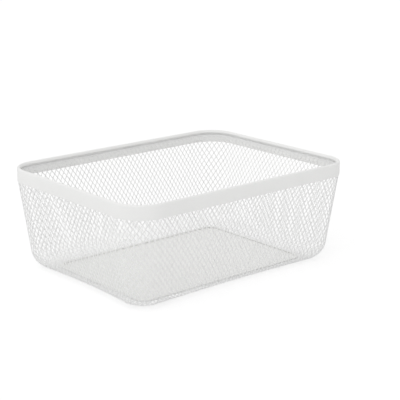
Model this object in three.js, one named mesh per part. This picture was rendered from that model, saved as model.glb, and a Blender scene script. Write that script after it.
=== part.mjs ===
// A steel mesh storage bin: a diamond mesh wall, a rolled rim band over a rim wire, and a hemmed base plate.
// Millimetres, +Z up, X along the long side, origin in the middle of the standing face.
import * as THREE from "three";

// Overall size, over the rim band
const LENGTH = 406.4;
const WIDTH = 304.8;
const HEIGHT = 152.4;

// Rim band: one strip of sheet steel, rolled over at the top, its hem reaching down inside from the roll's middle
const BAND_HEIGHT = 20.5;
const BAND_SHEET = 0.8;
const ROLL_DIAMETER = 5;
const HEM_DEPTH = 4.7;
const RIM_CORNER_RADIUS = 42;

// Mesh wall: upright behind the band, tapered below it, bent in to a flange under the base plate.
// Towards the floor the middle of each side bows in.
const MESH_SHEET = 0.9;
const WALL_TAPER = THREE.MathUtils.degToRad(7);
const SIDE_BOW = 4;
const FLOOR_BEND_RADIUS = 28;
const FLANGE_SHOWN = 5.8;
const FLANGE_LAP = 10;

// Diamonds of the mesh: wider than the real 8.3 by 12 mm ones, with the same share of open area
const DIAMOND_WIDTH = 30;
const DIAMOND_HEIGHT = 43;
const STRAND_WIDTH = 3.6;
const BEND_HALF_ROWS = 3;

// Base plate: one sheet with its edge folded over on top
const PLATE_SHEET = 0.8;
const PLATE_HEM = 5.3;
const PLATE_CORNER_RADIUS = 18;

// Clearances between the pieces
const FIT_GAP = 0.3;
const HEM_GAP = 0.25;
const BORDER_TUCK = 2;

// Fineness of the round stretches
const CORNER_STEPS = 10;
const ROLL_STEPS = 5;
const WIRE_SIDES = 8;
const EDGE_STEPS = 5;

// Levels and insets that follow from the sizes; an inset is measured inwards from the band's outer face
const bandFoot = HEIGHT - BAND_HEIGHT;
const rollRadius = ROLL_DIAMETER / 2;
const rollMidRadius = rollRadius - BAND_SHEET / 2;
const rollHeight = HEIGHT - rollRadius;
const wireRadius = rollRadius - BAND_SHEET - FIT_GAP;
const hemFoot = rollHeight - HEM_DEPTH;
const meshTop = rollHeight - wireRadius - FIT_GAP;
const bandDip = chordDip(RIM_CORNER_RADIUS - BAND_SHEET, CORNER_STEPS);
const uprightInset = BAND_SHEET + bandDip + FIT_GAP + MESH_SHEET / 2;
const uprightRadius = RIM_CORNER_RADIUS - uprightInset;
const cornerDiamonds = Math.ceil(uprightRadius * Math.PI / 2 / DIAMOND_WIDTH);
const meshDip = chordDip(uprightRadius, 2 * cornerDiamonds);
const hemInset = uprightInset + MESH_SHEET / 2 + meshDip + HEM_GAP + BAND_SHEET / 2;
const bendMidRadius = FLOOR_BEND_RADIUS - MESH_SHEET / 2;
const bendAngle = Math.PI / 2 - WALL_TAPER;
const bendTop = FLOOR_BEND_RADIUS - bendMidRadius * Math.sin(WALL_TAPER);
const bendTopInset = uprightInset + (bandFoot - bendTop) * Math.tan(WALL_TAPER);
const bendFootInset = bendTopInset + bendMidRadius * Math.cos(WALL_TAPER);
const plateInset = bendFootInset + FLANGE_SHOWN;

// Lengths along the mesh from the flange's inner end to its top edge
const borderLength = FLANGE_LAP - BORDER_TUCK;
const flangeLength = FLANGE_LAP + FLANGE_SHOWN;
const bendLength = bendMidRadius * bendAngle;
const taperLength = (bandFoot - bendTop) / Math.cos(WALL_TAPER);
const hiddenTop = meshTop - hemFoot;
const uprightLength = meshTop - bandFoot;

// How far the chords of a round quarter turn dip inside it
function chordDip(radius, chords) {
  return radius * (1 - Math.cos(Math.PI / 4 / chords));
}

// A point of a rounded rectangle with its outward direction; the sides may bow in.
// The turn runs over eight stretches, a corner after each side: 0 to 1 is the +X side, 1 to 2 the corner after it.
function planPoint(inset, cornerRadius, turn, bow = 0) {
  const stretch = Math.floor(turn) % 8;
  const share = turn - Math.floor(turn);
  const quarter = Math.floor(stretch / 2);
  const halfX = LENGTH / 2 - inset - cornerRadius;
  const halfY = WIDTH / 2 - inset - cornerRadius;
  const centreX = quarter === 0 || quarter === 3 ? halfX : -halfX;
  const centreY = quarter < 2 ? halfY : -halfY;
  if (stretch % 2 === 1) {
    const angle = (quarter + share) * Math.PI / 2;
    const out = new THREE.Vector2(Math.cos(angle), Math.sin(angle));
    return { x: centreX + cornerRadius * out.x, y: centreY + cornerRadius * out.y, out };
  }
  const angle = quarter * Math.PI / 2;
  const out = new THREE.Vector2(Math.cos(angle), Math.sin(angle));
  const sideHalf = quarter % 2 === 0 ? halfY : halfX;
  const along = (2 * share - 1) * sideHalf;
  const dip = bow * (1 - (2 * share - 1) ** 2);
  const farX = out.x * (LENGTH / 2 - inset - dip) - out.y * along;
  const farY = out.y * (WIDTH / 2 - inset - dip) + out.x * along;
  return { x: farX, y: farY, out };
}

// The turns of one loop round the plan: each side is one straight, each corner a few chords
function loopTurns() {
  const turns = [];
  for (let quarter = 0; quarter < 4; quarter += 1) {
    for (let step = 0; step <= CORNER_STEPS; step += 1) {
      turns.push((2 * quarter + 1 + step / CORNER_STEPS) % 8);
    }
  }
  return turns;
}

// A mesh from points and triangles, named and coloured
function namedMesh(name, points, triangles, colour, roughness) {
  const geometry = new THREE.BufferGeometry();
  geometry.setAttribute("position", new THREE.Float32BufferAttribute(points.flat(), 3));
  geometry.setIndex(triangles.flat());
  geometry.computeVertexNormals();
  const material = new THREE.MeshStandardMaterial({ color: colour, roughness, metalness: 0 });
  const mesh = new THREE.Mesh(geometry, material);
  mesh.name = name;
  return mesh;
}

// Triangles between two loops of the same count, the second loop following the first along the surface
function bandTriangles(first, second, count) {
  const triangles = [];
  for (let i = 0; i < count; i += 1) {
    const j = (i + 1) % count;
    triangles.push([first + i, first + j, second + j], [first + i, second + j, second + i]);
  }
  return triangles;
}

// A closed section carried round the plan: the section's points are [inset, height], clockwise as drawn outwards
function carriedRing(section, cornerRadiusAt) {
  const turns = loopTurns();
  const points = [];
  const triangles = [];
  section.forEach(([inset, height], k) => {
    for (const turn of turns) {
      const place = planPoint(inset, cornerRadiusAt(inset), turn);
      points.push([place.x, place.y, height]);
    }
    const next = (k + 1) % section.length;
    triangles.push(...bandTriangles(k * turns.length, next * turns.length, turns.length));
  });
  return { points, triangles };
}

// Corners of the rim are concentric with the band's outer face
const rimCorner = (inset) => RIM_CORNER_RADIUS - inset;

// Corners of the mesh go evenly from the rim's radius to the plate's
function meshCorner(inset) {
  const share = (inset - uprightInset) / (plateInset - uprightInset);
  return THREE.MathUtils.lerp(uprightRadius, PLATE_CORNER_RADIUS, share);
}

// Points of an arc of the rim's section, from one angle to another, about the middle of the roll
function rollArc(radius, from, to) {
  const points = [];
  for (let step = 0; step <= ROLL_STEPS; step += 1) {
    const angle = from + (to - from) * step / ROLL_STEPS;
    points.push([rollRadius + radius * Math.cos(angle), rollHeight + radius * Math.sin(angle)]);
  }
  return points;
}

// Rim band: up the outside, over the roll, and down to the hem's end beside the mesh, then back inside the sheet
function rimBand() {
  const hemEnd = new THREE.Vector2(hemInset - rollRadius, hemFoot - rollHeight);
  const leave = hemEnd.angle() - 2 * Math.PI + Math.acos(rollMidRadius / hemEnd.length());
  const across = new THREE.Vector2(Math.cos(leave), Math.sin(leave)).multiplyScalar(BAND_SHEET / 2);
  const section = [
    [0, bandFoot],
    ...rollArc(rollRadius, Math.PI, Math.PI / 2),
    ...rollArc(rollRadius, Math.PI / 2, leave).slice(1),
    [hemInset + across.x, hemFoot + across.y],
    [hemInset - across.x, hemFoot - across.y],
    ...rollArc(rollRadius - BAND_SHEET, leave, Math.PI / 2),
    ...rollArc(rollRadius - BAND_SHEET, Math.PI / 2, Math.PI).slice(1),
    [BAND_SHEET, bandFoot],
  ];
  const { points, triangles } = carriedRing(section, rimCorner);
  return namedMesh("rim_band", points, triangles, 0xe9e9e7, 0.45);
}

// Rim wire: a round wire bent to a ring inside the roll
function rimWire() {
  const section = [];
  for (let side = 0; side < WIRE_SIDES; side += 1) {
    const angle = -2 * Math.PI * side / WIRE_SIDES;
    section.push([rollRadius + wireRadius * Math.cos(angle), rollHeight + wireRadius * Math.sin(angle)]);
  }
  const { points, triangles } = carriedRing(section, rimCorner);
  return namedMesh("rim_wire", points, triangles, 0xc9cacb, 0.5);
}

// Base plate: a flat sheet above the flange, with a round folded edge and the fold's leaf on top
function basePlate() {
  const foldInset = plateInset + PLATE_SHEET;
  const foldHeight = MESH_SHEET + FIT_GAP + PLATE_SHEET;
  const section = [];
  for (let step = 0; step <= EDGE_STEPS; step += 1) {
    const angle = 3 * Math.PI / 2 - Math.PI * step / EDGE_STEPS;
    section.push([foldInset + PLATE_SHEET * Math.cos(angle), foldHeight + PLATE_SHEET * Math.sin(angle)]);
  }
  section.push([plateInset + PLATE_HEM, foldHeight + PLATE_SHEET]);
  section.push([plateInset + PLATE_HEM, foldHeight]);
  const { points, triangles } = carriedRing(section, meshCorner);
  const count = loopTurns().length;
  const open = triangles.slice(0, 2 * count * (section.length - 1));
  const underside = [...Array(count).keys()];
  const top = underside.map((i) => i + count * (section.length - 1));
  open.push(...flatCap(points, underside).map(([a, b, c]) => [a, c, b]), ...flatCap(points, top));
  return namedMesh("base_plate", points, open, 0xe4e4e1, 0.5);
}

// Triangles of a flat loop, seen from above
function flatCap(points, loop) {
  const outline = loop.map((i) => new THREE.Vector2(points[i][0], points[i][1]));
  return THREE.ShapeUtils.triangulateShape(outline, []).map((corner) => corner.map((i) => loop[i]));
}

// How far the mesh's sides bow in at a height: not at all behind the band, fully from the bend's top down
function sideBow(height) {
  return SIDE_BOW * THREE.MathUtils.clamp((bandFoot - height) / (bandFoot - bendTop), 0, 1);
}

// The mesh's middle surface at a length along it from the flange's inner end, with its outward direction
function meshProfile(length) {
  if (length <= flangeLength) {
    return { inset: plateInset + FLANGE_LAP - length, height: MESH_SHEET / 2, out: 0, up: -1 };
  }
  if (length <= flangeLength + bendLength) {
    const angle = (length - flangeLength) / bendMidRadius;
    const inset = bendFootInset - bendMidRadius * Math.sin(angle);
    const height = FLOOR_BEND_RADIUS - bendMidRadius * Math.cos(angle);
    return { inset, height, out: Math.sin(angle), up: -Math.cos(angle) };
  }
  const climbed = length - flangeLength - bendLength;
  if (climbed <= taperLength) {
    const inset = bendTopInset - climbed * Math.sin(WALL_TAPER);
    const height = bendTop + climbed * Math.cos(WALL_TAPER);
    return { inset, height, out: Math.cos(WALL_TAPER), up: -Math.sin(WALL_TAPER) };
  }
  return { inset: uprightInset, height: bandFoot + climbed - taperLength, out: 1, up: 0 };
}

// Lengths along the mesh of its half rows of diamonds, from the plate's border to the hem's
function halfRowLengths() {
  const taperRows = Math.max(2, Math.round(taperLength / (DIAMOND_HEIGHT / 2)));
  const lengths = [borderLength];
  for (let step = 0; step <= BEND_HALF_ROWS; step += 1) {
    lengths.push(flangeLength + bendLength * step / BEND_HALF_ROWS);
  }
  for (let step = 1; step <= taperRows; step += 1) {
    lengths.push(flangeLength + bendLength + taperLength * step / taperRows);
  }
  lengths.push(flangeLength + bendLength + taperLength + uprightLength - hiddenTop);
  return lengths;
}

// Half columns of diamonds on each of the eight stretches round the plan
function halfColumnCounts() {
  const longSide = LENGTH - 2 * RIM_CORNER_RADIUS;
  const shortSide = WIDTH - 2 * RIM_CORNER_RADIUS;
  const long = 2 * Math.max(1, Math.round(longSide / DIAMOND_WIDTH));
  const short = 2 * Math.max(1, Math.round(shortSide / DIAMOND_WIDTH));
  const corner = 2 * cornerDiamonds;
  return [short, corner, long, corner, short, corner, long, corner];
}

// Mesh wall: diamonds open on a grid of half columns and half rows, with a plain border at each cut edge.
// Strands cross where column plus row is even; a diamond is open where the sum is odd.
function meshWall() {
  const rows = halfRowLengths();
  const lastRow = rows.length - 1;
  const counts = halfColumnCounts();
  const columns = counts.reduce((sum, count) => sum + count, 0);
  const strandSpacing = DIAMOND_WIDTH * DIAMOND_HEIGHT / Math.hypot(DIAMOND_WIDTH, DIAMOND_HEIGHT);
  const openShare = 1 - STRAND_WIDTH / strandSpacing;
  const fullLength = flangeLength + bendLength + taperLength + uprightLength;

  // The turn round the plan of a column, which may lie between two whole ones
  function columnTurn(column) {
    let rest = (column + columns) % columns;
    let stretch = 0;
    while (rest >= counts[stretch]) {
      rest -= counts[stretch];
      stretch += 1;
    }
    return stretch + rest / counts[stretch];
  }

  // The length along the mesh of a row, which may lie between two whole ones
  function rowLength(row) {
    const below = Math.min(Math.floor(row), lastRow - 1);
    return THREE.MathUtils.lerp(rows[below], rows[below + 1], row - below);
  }

  const outer = [];
  const inner = [];
  const numbers = new Map();

  // The number of the point at a column and a length along the mesh, on the outer and the inner face
  function pointAt(column, length) {
    const key = `${((column + columns) % columns).toFixed(4)} ${length.toFixed(4)}`;
    if (!numbers.has(key)) {
      const { inset, height, out, up } = meshProfile(length);
      const place = planPoint(inset, meshCorner(inset), columnTurn(column), sideBow(height));
      const offset = (side) => [
        place.x + side * out * place.out.x,
        place.y + side * out * place.out.y,
        height + side * up,
      ];
      numbers.set(key, outer.length);
      outer.push(offset(MESH_SHEET / 2));
      inner.push(offset(-MESH_SHEET / 2));
    }
    return numbers.get(key);
  }

  // The four corners of an open diamond
  const right = (column, row) => pointAt(column + openShare, rowLength(row));
  const left = (column, row) => pointAt(column - openShare, rowLength(row));
  const top = (column, row) => pointAt(column, rowLength(row + openShare));
  const foot = (column, row) => pointAt(column, rowLength(row - openShare));

  const faces = [];
  for (let column = 0; column < columns; column += 1) {
    for (let row = 1; row < lastRow; row += 1) {
      if ((column + row) % 2 === 1) {
        continue;
      }
      // The crossing of two strands, then the two strands that climb from it
      const crossing = [right(column - 1, row)];
      if (row > 1) {
        crossing.push(top(column, row - 1));
      }
      crossing.push(left(column + 1, row));
      if (row < lastRow - 1) {
        crossing.push(foot(column, row + 1));
      }
      faces.push(crossing);
      if (row < lastRow - 1) {
        const up = row + 1;
        faces.push([left(column + 1, row), top(column + 1, row), right(column, up), foot(column, up)]);
        faces.push([top(column - 1, row), right(column - 1, row), foot(column, up), left(column, up)]);
      }
    }
  }

  // The plain borders between the cut edges and the first and last diamonds
  for (let column = 0; column < columns; column += 1) {
    if (column % 2 === 1) {
      faces.push([
        pointAt(column, 0), pointAt(column + 1, 0), foot(column + 1, 1), left(column + 1, 1),
        right(column - 1, 1), foot(column - 1, 1), pointAt(column - 1, 0),
      ]);
    }
    if ((column + lastRow - 1) % 2 === 0) {
      const row = lastRow - 1;
      faces.push([
        pointAt(column, fullLength), pointAt(column - 1, fullLength), top(column - 1, row), right(column - 1, row),
        left(column + 1, row), top(column + 1, row), pointAt(column + 1, fullLength),
      ]);
    }
  }
  const { points, triangles } = thickSheet(faces, outer, inner);
  return namedMesh("mesh_wall", points, triangles, 0xebebe9, 0.5);
}

// A sheet from faces that are anticlockwise on its outer side: both sides, and a wall along every free edge
function thickSheet(faces, outer, inner) {
  const count = outer.length;
  const triangles = [];
  const edges = new Map();
  for (const face of faces) {
    for (let i = 2; i < face.length; i += 1) {
      triangles.push([face[0], face[i - 1], face[i]]);
      triangles.push([face[0] + count, face[i] + count, face[i - 1] + count]);
    }
    face.forEach((start, i) => {
      const end = face[(i + 1) % face.length];
      edges.set(`${start} ${end}`, [start, end]);
    });
  }
  for (const [start, end] of edges.values()) {
    if (!edges.has(`${end} ${start}`)) {
      triangles.push([end, start, start + count], [end, start + count, end + count]);
    }
  }
  return { points: [...outer, ...inner], triangles };
}

const bin = new THREE.Group();
bin.name = "mesh_bin";
bin.add(meshWall(), rimBand(), rimWire(), basePlate());

export default bin;
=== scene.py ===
"""A white steel mesh storage bin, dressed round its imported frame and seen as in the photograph."""
import math

import bpy
import numpy as np
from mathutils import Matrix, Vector


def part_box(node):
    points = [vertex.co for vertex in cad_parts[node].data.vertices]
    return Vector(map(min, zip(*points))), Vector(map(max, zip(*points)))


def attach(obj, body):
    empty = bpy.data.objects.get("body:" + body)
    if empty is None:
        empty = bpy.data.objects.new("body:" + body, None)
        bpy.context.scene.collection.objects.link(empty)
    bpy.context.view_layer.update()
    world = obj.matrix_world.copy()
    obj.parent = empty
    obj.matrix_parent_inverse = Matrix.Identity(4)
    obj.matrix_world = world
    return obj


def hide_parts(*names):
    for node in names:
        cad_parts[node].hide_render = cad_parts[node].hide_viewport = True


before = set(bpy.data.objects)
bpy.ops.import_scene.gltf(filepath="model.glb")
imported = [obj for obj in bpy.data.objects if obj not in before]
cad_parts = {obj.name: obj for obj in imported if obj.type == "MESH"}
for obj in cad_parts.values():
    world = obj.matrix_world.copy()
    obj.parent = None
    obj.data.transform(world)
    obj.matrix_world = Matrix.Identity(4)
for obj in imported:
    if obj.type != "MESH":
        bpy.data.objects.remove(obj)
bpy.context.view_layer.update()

MM = 0.001

# Rim band: one strip of sheet, rolled over at the top to a lip that stands in over the mesh.
# The lip's end lies below the roll's middle by the hem's depth.
BAND_SHEET = 0.8 * MM
ROLL_DIAMETER = 5 * MM
HEM_DEPTH = 1.1 * MM
HEM_GAP = 3.2 * MM
RIM_CORNER_RADIUS = 42 * MM

# Mesh wall: upright behind the band, tapered below it, bent in to a flange under the base plate.
# Its top edge lies on the band below the lip. Towards the floor the middle of each side bows in.
MESH_SHEET = 0.5 * MM
MESH_GAP = 0.05 * MM
MESH_HELD = 13 * MM
WALL_TAPER = math.radians(7)
SIDE_BOW = 4 * MM
FLOOR_BEND_RADIUS = 28 * MM
FLANGE_LAP = 10 * MM

# Diamonds of the mesh, with bonds wider than the strands that meet in them
DIAMOND_COLUMNS = 162
DIAMOND_WIDTH = 8.26 * MM
DIAMOND_HEIGHT = 12 * MM
STRAND_WIDTH = 1.35 * MM
STRAND_ROUND = 0.22 * MM
BOND_CUT = 0.35 * MM
MESH_BORDER = 1.2 * MM

# Base plate: one sheet, its edge folded over on top with a narrow gap left in the fold
PLATE_SHEET = 0.75 * MM
PLATE_HEM = 4.8 * MM
PLATE_CORNER_RADIUS = 18 * MM

# Fineness of the round stretches
CORNER_STEPS = 24
ROLL_STEPS = 28
EDGE_STEPS = 8

# White powder coats: colour, the share of it left in the darker patches, and the strength of the pebbled skin
MESH_WHITE = (0.92, 0.92, 0.917)
MESH_SHADE = 0.97
MESH_GRAIN = 0.25
BAND_WHITE = (0.92, 0.92, 0.91)
BAND_SHADE = 0.98
BAND_GRAIN = 0.25
PLATE_WHITE = (0.92, 0.92, 0.905)
PLATE_SHADE = 0.98
PLATE_GRAIN = 0.3

# What all the coats share. Noise scales are per metre; patches go from dark to light over their range.
COAT_SPECULAR = 0.4
COAT_ROUGHNESS = (0.42, 0.56)
PATCH_SCALE = 28
PATCH_DETAIL = 3
PATCH_RANGE = (0.3, 0.7)
GLOSS_SCALE = 160
GLOSS_DETAIL = 2
GRAIN_SCALE = 900
GRAIN_DETAIL = 2
GRAIN_HEIGHT = 0.05 * MM

# Drawn steel of the wire, mottled by one noise
WIRE_DARK = (0.5, 0.5, 0.51)
WIRE_LIGHT = (0.66, 0.66, 0.67)
WIRE_RANGE = (0, 1)
WIRE_ROUGHNESS = (0.25, 0.45)
WIRE_GRAIN = 0.2
MOTTLE_SCALE = 500
MOTTLE_DETAIL = 3

# Levels and insets from the frame; an inset is measured inwards from the band's outer face
rim_low, rim_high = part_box("rim_band")
plate_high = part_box("base_plate")[1]
half_length = rim_high.x
half_width = rim_high.y
roll_radius = ROLL_DIAMETER / 2
roll_height = rim_high.z - roll_radius
band_foot = rim_low.z
upright_inset = BAND_SHEET + MESH_GAP + MESH_SHEET / 2
upright_radius = RIM_CORNER_RADIUS - upright_inset
hem_inset = upright_inset + MESH_SHEET / 2 + HEM_GAP + BAND_SHEET / 2
plate_inset = half_length - plate_high.x
plate_foot = MESH_SHEET + MESH_GAP
bend_radius = FLOOR_BEND_RADIUS - MESH_SHEET / 2
bend_top = FLOOR_BEND_RADIUS - bend_radius * math.sin(WALL_TAPER)
bend_top_inset = upright_inset + (band_foot - bend_top) * math.tan(WALL_TAPER)
bend_foot_inset = bend_top_inset + bend_radius * math.cos(WALL_TAPER)

# Lengths along the mesh, from the flange's inner end up
flange_end = plate_inset + FLANGE_LAP - bend_foot_inset
bend_end = flange_end + bend_radius * (math.pi / 2 - WALL_TAPER)
taper_end = bend_end + (band_foot - bend_top) / math.cos(WALL_TAPER)
mesh_end = taper_end + MESH_HELD


def rim_corner(inset):
    """Corner radius of the rim, concentric with the band's outer face."""
    return RIM_CORNER_RADIUS - inset


def mesh_corner(inset):
    """Corner radius of the mesh and the plate, going evenly from the rim's to the plate's."""
    share = (inset - upright_inset) / (plate_inset - upright_inset)
    return upright_radius + (PLATE_CORNER_RADIUS - upright_radius) * share


def plan_points(share, inset, bow):
    """Points of the mesh's plan at shares of its round, from the middle of the +X side, with their outward
    directions. Each quarter is half a side, a corner and half a side, every other one mirrored."""
    radius = mesh_corner(inset)
    half_x = half_length - inset - radius
    half_y = half_width - inset - radius
    corner = radius * math.pi / 2
    quarter = np.floor(4 * share).astype(int) % 4
    part = 4 * share - np.floor(4 * share)
    along = np.where(quarter % 2 == 0, part, 1 - part) * (half_y + corner + half_x)
    angle = np.clip((along - half_y) / radius, 0, math.pi / 2)
    before = np.clip(along / half_y, 0, 1)
    after = np.clip((along - half_y - corner) / half_x, 0, 1)
    x = half_x * (1 - after) + radius * np.cos(angle) - bow * (1 - before ** 2)
    y = half_y * before + radius * np.sin(angle) - bow * (1 - (1 - after) ** 2)
    side_x = np.where((quarter == 0) | (quarter == 3), 1, -1)
    side_y = np.where(quarter < 2, 1, -1)
    return x * side_x, y * side_y, np.cos(angle) * side_x, np.sin(angle) * side_y


def profile_points(length):
    """The mesh's middle surface at lengths along it: inset, height, and the outward direction's two parts."""
    turn = np.clip((length - flange_end) / bend_radius, 0, math.pi / 2 - WALL_TAPER)
    climb = np.clip(length - bend_end, 0, taper_end - bend_end)
    rise = np.maximum(length - taper_end, 0)
    upright = length > taper_end
    inset = bend_foot_inset + np.maximum(flange_end - length, 0)
    inset = inset - bend_radius * np.sin(turn) - climb * math.sin(WALL_TAPER)
    height = FLOOR_BEND_RADIUS - bend_radius * np.cos(turn) + climb * math.cos(WALL_TAPER) + rise
    return inset, height, np.where(upright, 1, np.sin(turn)), np.where(upright, 0, -np.cos(turn))


def mesh_points(column_share, length, proud):
    """Points of the mesh, standing proud of its middle surface by a distance."""
    inset, height, out, up = profile_points(length)
    bow = SIDE_BOW * np.clip((band_foot - height) / (band_foot - bend_top), 0, 1)
    x, y, out_x, out_y = plan_points(column_share, inset, bow)
    return np.stack([x + proud * out * out_x, y + proud * out * out_y, height + proud * up], axis=1)


def new_object(name, points, faces, material):
    """A smooth mesh object from points and faces."""
    mesh = bpy.data.meshes.new(name)
    mesh.from_pydata([tuple(point) for point in points], [], faces)
    mesh.validate()
    mesh.polygons.foreach_set("use_smooth", [True] * len(mesh.polygons))
    mesh.materials.append(material)
    piece = bpy.data.objects.new(name, mesh)
    bpy.context.scene.collection.objects.link(piece)
    return piece


class DiamondSheet:
    """The faces of the diamond mesh on its outer side, and where each of their points lies on the sheet.
    Strands cross where half column plus half row is even; a diamond is open where the sum is odd.
    A diamond's corners go round from the upper one on its right: 0 and 5 on the right, 1 at the top,
    2 and 3 on the left, 4 at the bottom."""

    CORNERS = 6

    def __init__(self):
        self.columns = 2 * DIAMOND_COLUMNS
        reach = mesh_end - 2 * MESH_BORDER
        self.rows = round(reach / (DIAMOND_HEIGHT / 2))
        self.half_row = reach / self.rows
        self.per_row = self.columns // 2
        self.hole_count = self.per_row * (self.rows - 1)
        self.faces = []

    def corner(self, column, row, number):
        """The number of a diamond's corner point."""
        hole = (row - 1) * self.per_row + (column % self.columns) // 2
        return self.CORNERS * hole + number

    def edge(self, column, top):
        """The number of a point on one of the sheet's two cut edges."""
        return self.CORNERS * self.hole_count + self.columns * top + column % self.columns

    def places(self, widen):
        """Half columns and lengths of all the points, the diamonds widened and the cut edges drawn in."""
        half_column = DIAMOND_WIDTH / 2
        half_spacing = half_column * self.half_row / math.hypot(half_column, self.half_row)
        reach = 1 - (STRAND_WIDTH / 2 - widen) / half_spacing
        side = 1 - STRAND_WIDTH / 2 / half_spacing - (BOND_CUT - widen) / half_column
        flat = reach - side
        upper = [[side, flat], [0, reach], [-side, flat]]
        lower = [[-side, -flat], [0, -reach], [side, -flat]]
        corners = np.array(upper + lower)
        rows = np.repeat(np.arange(1, self.rows), self.per_row)
        columns = np.tile(np.arange(0, self.columns, 2), self.rows - 1) + (rows + 1) % 2
        hole_columns = (columns[:, None] + corners[:, 0]).ravel()
        hole_lengths = (MESH_BORDER + (rows[:, None] + corners[:, 1]) * self.half_row).ravel()
        around = np.arange(self.columns)
        low = np.full(self.columns, widen)
        high = np.full(self.columns, mesh_end - widen)
        return np.concatenate([hole_columns, around, around]), np.concatenate([hole_lengths, low, high])

    def add_crossings(self):
        """The bonds where strands cross, and the two strands that climb from each."""
        corner = self.corner
        for row in range(1, self.rows):
            for column in range(row % 2, self.columns, 2):
                bond = [corner(column, row - 1, 1)] if row > 1 else []
                bond += [corner(column + 1, row, 3), corner(column + 1, row, 2)]
                bond += [corner(column, row + 1, 4)] if row < self.rows - 1 else []
                bond += [corner(column - 1, row, 0), corner(column - 1, row, 5)]
                self.faces.append(bond)
                if row == self.rows - 1:
                    continue
                above = row + 1
                self.faces.append([
                    corner(column + 1, row, 2), corner(column + 1, row, 1),
                    corner(column, above, 5), corner(column, above, 4),
                ])
                self.faces.append([
                    corner(column, above, 4), corner(column, above, 3),
                    corner(column - 1, row, 1), corner(column - 1, row, 0),
                ])

    def add_borders(self):
        """The plain borders between the cut edges and the first and last diamonds."""
        corner = self.corner
        last = self.rows - 1
        for column in range(1, self.columns, 2):
            self.faces.append([
                self.edge(column - 1, 0), self.edge(column, 0), self.edge(column + 1, 0),
                corner(column + 1, 1, 4), corner(column + 1, 1, 3),
                corner(column - 1, 1, 5), corner(column - 1, 1, 4),
            ])
        for column in range(last % 2, self.columns, 2):
            self.faces.append([
                corner(column - 1, last, 1), corner(column - 1, last, 0),
                corner(column + 1, last, 2), corner(column + 1, last, 1),
                self.edge(column + 1, 1), self.edge(column, 1), self.edge(column - 1, 1),
            ])


def diamond_mesh(material):
    """The mesh wall: both faces of the sheet, and a ridge round every diamond that rounds its strands."""
    sheet = DiamondSheet()
    sheet.add_crossings()
    sheet.add_borders()
    face_columns, face_lengths = sheet.places(STRAND_ROUND)
    ridge_columns, ridge_lengths = sheet.places(0)
    points = np.concatenate([
        mesh_points(face_columns / sheet.columns, face_lengths, MESH_SHEET / 2),
        mesh_points(ridge_columns / sheet.columns, ridge_lengths, 0),
        mesh_points(face_columns / sheet.columns, face_lengths, -MESH_SHEET / 2),
    ])
    count = len(face_columns)
    edges = {(face[i - 1], face[i]) for face in sheet.faces for i in range(len(face))}
    faces = list(sheet.faces)
    faces += [[point + 2 * count for point in reversed(face)] for face in sheet.faces]
    for start, end in sorted(edges):
        if (end, start) not in edges:
            faces.append([end, start, start + count, end + count])
            faces.append([end + count, start + count, start + 2 * count, end + 2 * count])
    piece = new_object("diamond_mesh", points, faces, material)
    columns = np.concatenate([face_columns, ridge_columns, face_columns])
    lengths = np.concatenate([face_lengths, ridge_lengths, face_lengths])
    lay_flat(piece.data, columns, lengths, sheet.columns)
    return piece


def lay_flat(mesh, columns, lengths, around):
    """A texture map of the mesh as its sheet lies unrolled: the outer half below, the inner half above.
    The last third of the points are the inner face's. Faces across the seam go on past the right end."""
    inner_start = len(columns) * 2 // 3
    left_margin = 1
    right_margin = 2
    corners = np.zeros(len(mesh.loops), dtype=int)
    mesh.loops.foreach_get("vertex_index", corners)
    starts = np.zeros(len(mesh.polygons), dtype=int)
    mesh.polygons.foreach_get("loop_start", starts)
    face = np.repeat(np.arange(len(starts)), np.diff(np.append(starts, len(corners))))
    inner = np.maximum.reduceat(corners, starts) >= inner_start
    column = columns[corners]
    wraps = np.maximum.reduceat(column, starts) - np.minimum.reduceat(column, starts) > around / 2
    column = column + around * (wraps[face] & (column < around / 2))
    across = (column + left_margin) / (around + left_margin + right_margin)
    along = lengths[corners] + MESH_BORDER + inner[face] * (mesh_end + MESH_BORDER)
    along = along / (2 * mesh_end + 3 * MESH_BORDER)
    layer = mesh.uv_layers.new(name="OFBake")
    layer.uv.foreach_set("vector", np.stack([across, along], axis=1).astype(np.float32).ravel())


def swept_ring(section, corner_radius):
    """A closed section of (inset, height) points carried round the plan: its points and its faces.
    The section runs so that the ring's faces look out."""
    stations = [(quarter, step / CORNER_STEPS) for quarter in range(4) for step in range(CORNER_STEPS + 1)]
    points = []
    for inset, height in section:
        radius = corner_radius(inset)
        for quarter, share in stations:
            angle = (quarter + share) * math.pi / 2
            side_x = 1 if quarter in (0, 3) else -1
            side_y = 1 if quarter < 2 else -1
            x = side_x * (half_length - inset - radius) + radius * math.cos(angle)
            y = side_y * (half_width - inset - radius) + radius * math.sin(angle)
            points.append((x, y, height))
    around = len(stations)
    faces = []
    for k in range(len(section)):
        first = k * around
        second = (k + 1) % len(section) * around
        for i in range(around):
            j = (i + 1) % around
            faces.append([first + i, first + j, second + j, second + i])
    return points, faces


def arc(centre, radius, start, end, steps):
    """Points of an arc in the section's plane, both ends included."""
    angles = np.linspace(start, end, steps + 1)
    return [(centre[0] + radius * math.cos(a), centre[1] + radius * math.sin(a)) for a in angles]


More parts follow.
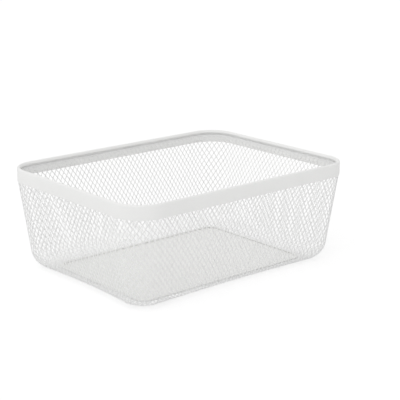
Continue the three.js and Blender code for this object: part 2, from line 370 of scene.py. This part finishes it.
def rolled_band(material):
    """The rim band: up the outside, over the roll, down to the hem's round end, and back inside the sheet."""
    half_sheet = BAND_SHEET / 2
    roll = (roll_radius, roll_height)
    end_x = hem_inset - roll_radius
    end_y = -HEM_DEPTH
    reach = math.hypot(end_x, end_y)
    leave = math.atan2(end_y, end_x) + math.acos((roll_radius - half_sheet) / reach)
    section = arc(roll, roll_radius, math.pi, leave, ROLL_STEPS)
    section += arc((hem_inset, roll_height - HEM_DEPTH), half_sheet, leave, leave - math.pi, EDGE_STEPS)
    section += arc(roll, roll_radius - BAND_SHEET, leave, math.pi, ROLL_STEPS)
    section += arc((half_sheet, band_foot + half_sheet), half_sheet, 0, -math.pi, EDGE_STEPS)
    points, faces = swept_ring(section, rim_corner)
    return new_object("rolled_band", points, faces, material)


def folded_plate(material):
    """The base plate: round the folded edge, in to the leaf's round end, out again inside the fold,
    and then the field. The last ring of points lies in the field, clear of the leaf."""
    half_sheet = PLATE_SHEET / 2
    field_inset = plate_inset + 2 * PLATE_HEM
    radius = (plate_high.z - plate_foot) / 2
    fold = (plate_inset + radius, plate_foot + radius)
    leaf_end = (plate_inset + PLATE_HEM - half_sheet, plate_high.z - half_sheet)
    section = arc(fold, radius, -math.pi / 2, -3 * math.pi / 2, EDGE_STEPS)
    section += arc(leaf_end, half_sheet, math.pi / 2, -math.pi / 2, EDGE_STEPS)
    section += arc(fold, radius - PLATE_SHEET, -3 * math.pi / 2, -math.pi / 2, EDGE_STEPS)
    section.append((field_inset, plate_foot + PLATE_SHEET))
    points, faces = swept_ring(section, mesh_corner)
    around = len(points) // len(section)
    faces = faces[:-around]
    faces.append(list(reversed(range(around))))
    faces.append(list(range(len(points) - around, len(points))))
    return new_object("folded_plate", points, faces, material)


class Finish:
    """A new material, and the ways in which noise sets its colour, gloss and relief."""

    def __init__(self, name):
        self.material = bpy.data.materials.new(name)
        self.material.use_nodes = True
        self.tree = self.material.node_tree
        self.shader = self.tree.nodes["Principled BSDF"]
        self.place = self.tree.nodes.new("ShaderNodeTexCoord")

    def noise(self, scale, detail):
        """Noise in the piece's own space."""
        node = self.tree.nodes.new("ShaderNodeTexNoise")
        node.inputs["Scale"].default_value = scale
        node.inputs["Detail"].default_value = detail
        self.tree.links.new(self.place.outputs["Object"], node.inputs["Vector"])
        return node.outputs["Fac"]

    def tint(self, noise, span, dark, light):
        """Colour from dark to light as the noise goes over its span."""
        node = self.tree.nodes.new("ShaderNodeValToRGB")
        for element, position, colour in zip(node.color_ramp.elements, span, (dark, light)):
            element.position = position
            element.color = (*colour, 1)
        self.tree.links.new(noise, node.inputs["Fac"])
        self.tree.links.new(node.outputs["Color"], self.shader.inputs["Base Color"])

    def gloss(self, noise, roughness):
        """Roughness from the first value to the second as the noise goes from 0 to 1."""
        node = self.tree.nodes.new("ShaderNodeMapRange")
        node.inputs["To Min"].default_value = roughness[0]
        node.inputs["To Max"].default_value = roughness[1]
        self.tree.links.new(noise, node.inputs["Value"])
        self.tree.links.new(node.outputs["Result"], self.shader.inputs["Roughness"])

    def relief(self, noise, strength):
        """Fine relief of the grain's height."""
        node = self.tree.nodes.new("ShaderNodeBump")
        node.inputs["Strength"].default_value = strength
        node.inputs["Distance"].default_value = GRAIN_HEIGHT
        self.tree.links.new(noise, node.inputs["Height"])
        self.tree.links.new(node.outputs["Normal"], self.shader.inputs["Normal"])


def coat_material(name, colour, shade, grain):
    """White powder coat: a fine pebbled skin, with faint differences in colour and gloss."""
    coat = Finish(name)
    coat.shader.inputs["Specular IOR Level"].default_value = COAT_SPECULAR
    shaded = [shade * part for part in colour]
    coat.tint(coat.noise(PATCH_SCALE, PATCH_DETAIL), PATCH_RANGE, shaded, colour)
    coat.gloss(coat.noise(GLOSS_SCALE, GLOSS_DETAIL), COAT_ROUGHNESS)
    coat.relief(coat.noise(GRAIN_SCALE, GRAIN_DETAIL), grain)
    return coat.material


def wire_material():
    """Drawn steel wire, finely mottled in tone, gloss and relief."""
    steel = Finish("drawn_steel")
    steel.shader.inputs["Metallic"].default_value = 1
    mottle = steel.noise(MOTTLE_SCALE, MOTTLE_DETAIL)
    steel.tint(mottle, WIRE_RANGE, WIRE_DARK, WIRE_LIGHT)
    steel.gloss(mottle, WIRE_ROUGHNESS)
    steel.relief(mottle, WIRE_GRAIN)
    return steel.material


# The pieces, each standing for its CAD node
mesh_piece = diamond_mesh(coat_material("mesh_coat", MESH_WHITE, MESH_SHADE, MESH_GRAIN))
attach(mesh_piece, "root")
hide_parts("mesh_wall")

band_piece = rolled_band(coat_material("band_coat", BAND_WHITE, BAND_SHADE, BAND_GRAIN))
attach(band_piece, "root")
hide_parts("rim_band")

plate_piece = folded_plate(coat_material("plate_coat", PLATE_WHITE, PLATE_SHADE, PLATE_GRAIN))
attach(plate_piece, "root")
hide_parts("base_plate")

# The wire keeps its CAD shape
wire_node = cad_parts["rim_wire"]
wire_node.data.materials.clear()
wire_node.data.materials.append(wire_material())

# Floor: a pale ground that shows white to the camera and keeps the bin's shadow
FLOOR_HALF = 15
FLOOR_DROP = 0.2 * MM
FLOOR_ROUGHNESS = 0.9
FLOOR_BOUNCE = 0.9
FLOOR_SHADED = 0.7
FLOOR_LIFT = 0.42


def seen_directly(tree):
    """Light Path outputs joined: 1 for rays that a viewer sees straight, in a mirror or through glass."""
    path = tree.nodes.new("ShaderNodeLightPath")
    total = path.outputs["Is Camera Ray"]
    for kind in ("Is Glossy Ray", "Is Transmission Ray"):
        either = tree.nodes.new("ShaderNodeMath")
        either.operation = "MAXIMUM"
        tree.links.new(total, either.inputs[0])
        tree.links.new(path.outputs[kind], either.inputs[1])
        total = either.outputs[0]
    return total


def make_floor():
    """A wide plane under the bin, lifted to white for what sees it straight."""
    corners = [(-1, -1), (1, -1), (1, 1), (-1, 1)]
    points = [(FLOOR_HALF * x, FLOOR_HALF * y, -FLOOR_DROP) for x, y in corners]
    material = bpy.data.materials.new("pale_floor")
    material.use_nodes = True
    tree = material.node_tree
    shader = tree.nodes["Principled BSDF"]
    shader.inputs["Roughness"].default_value = FLOOR_ROUGHNESS
    shader.inputs["Specular IOR Level"].default_value = 0
    shader.inputs["Emission Color"].default_value = (1, 1, 1, 1)
    seen = seen_directly(tree)
    for socket, unseen_value, seen_value in (
        ("Base Color", FLOOR_BOUNCE, FLOOR_SHADED),
        ("Emission Strength", 0, FLOOR_LIFT),
    ):
        choice = tree.nodes.new("ShaderNodeMapRange")
        choice.inputs["To Min"].default_value = unseen_value
        choice.inputs["To Max"].default_value = seen_value
        tree.links.new(seen, choice.inputs["Value"])
        tree.links.new(choice.outputs["Result"], shader.inputs[socket])
    floor = new_object("floor", points, [[0, 1, 2, 3]], material)


make_floor()

# World: a pale light that falls off away from its brightest side, white where it is seen straight
WORLD_FROM = (-0.82, -0.05, 0.5)
WORLD_DIM = 0.45
WORLD_BRIGHT = 0.98


def make_world():
    """A plain world, brightest on one side, whose light on the bin is softer than the white that it shows."""
    world = bpy.data.worlds.new("studio")
    bpy.context.scene.world = world
    world.use_nodes = True
    tree = world.node_tree
    background = tree.nodes["Background"]
    background.inputs["Color"].default_value = (1, 1, 1, 1)
    place = tree.nodes.new("ShaderNodeTexCoord")
    towards = tree.nodes.new("ShaderNodeVectorMath")
    towards.operation = "DOT_PRODUCT"
    towards.inputs[1].default_value = Vector(WORLD_FROM).normalized()
    tree.links.new(place.outputs["Generated"], towards.inputs[0])
    light = tree.nodes.new("ShaderNodeMapRange")
    light.inputs["From Min"].default_value = -1
    light.inputs["To Min"].default_value = WORLD_DIM
    light.inputs["To Max"].default_value = WORLD_BRIGHT
    tree.links.new(towards.outputs["Value"], light.inputs["Value"])
    strength = tree.nodes.new("ShaderNodeMapRange")
    strength.inputs["To Max"].default_value = 1
    tree.links.new(seen_directly(tree), strength.inputs["Value"])
    tree.links.new(light.outputs["Result"], strength.inputs["To Min"])
    tree.links.new(strength.outputs["Result"], background.inputs["Strength"])


make_world()

# Key lamp: a wide soft light from high on the camera's side, a little to the left of it
KEY_FROM = (-0.45, -0.3, 0.7)
KEY_WIDTH = math.radians(50)
KEY_LIGHT = 0.26


def make_key():
    """A sun so wide that its shadows are soft."""
    lamp = bpy.data.lights.new("key", "SUN")
    lamp.angle = KEY_WIDTH
    lamp.energy = KEY_LIGHT
    holder = bpy.data.objects.new("key", lamp)
    holder.rotation_euler = Vector(KEY_FROM).to_track_quat("Z", "Y").to_euler()
    bpy.context.scene.collection.objects.link(holder)


make_key()

# Camera: long lens, aimed at the middle of the bin, the frame shifted as the photograph's is.
# The sensor's width is in millimetres, as Blender's cameras have it.
CAMERA_AZIMUTH = math.radians(-40.2)
CAMERA_ELEVATION = math.radians(16.26)
CAMERA_DISTANCE = 1.7146
SENSOR_WIDTH = 36
IMAGE_SIDE = 400
FOCAL_PIXELS = 1155.85
AIM_PIXEL = (180.16, 212.55)


def make_camera():
    """The photograph's camera."""
    data = bpy.data.cameras.new("camera")
    data.sensor_width = SENSOR_WIDTH
    data.lens = FOCAL_PIXELS / IMAGE_SIDE * SENSOR_WIDTH
    data.shift_x = 0.5 - AIM_PIXEL[0] / IMAGE_SIDE
    data.shift_y = AIM_PIXEL[1] / IMAGE_SIDE - 0.5
    camera = bpy.data.objects.new("camera", data)
    back = Vector((
        math.sin(CAMERA_AZIMUTH) * math.cos(CAMERA_ELEVATION),
        -math.cos(CAMERA_AZIMUTH) * math.cos(CAMERA_ELEVATION),
        math.sin(CAMERA_ELEVATION),
    ))
    camera.location = Vector((0, 0, rim_high.z / 2)) + back * CAMERA_DISTANCE
    camera.rotation_euler = (-back).to_track_quat("-Z", "Y").to_euler()
    bpy.context.scene.collection.objects.link(camera)
    bpy.context.scene.camera = camera


make_camera()
bpy.context.scene.view_settings.view_transform = "Standard"
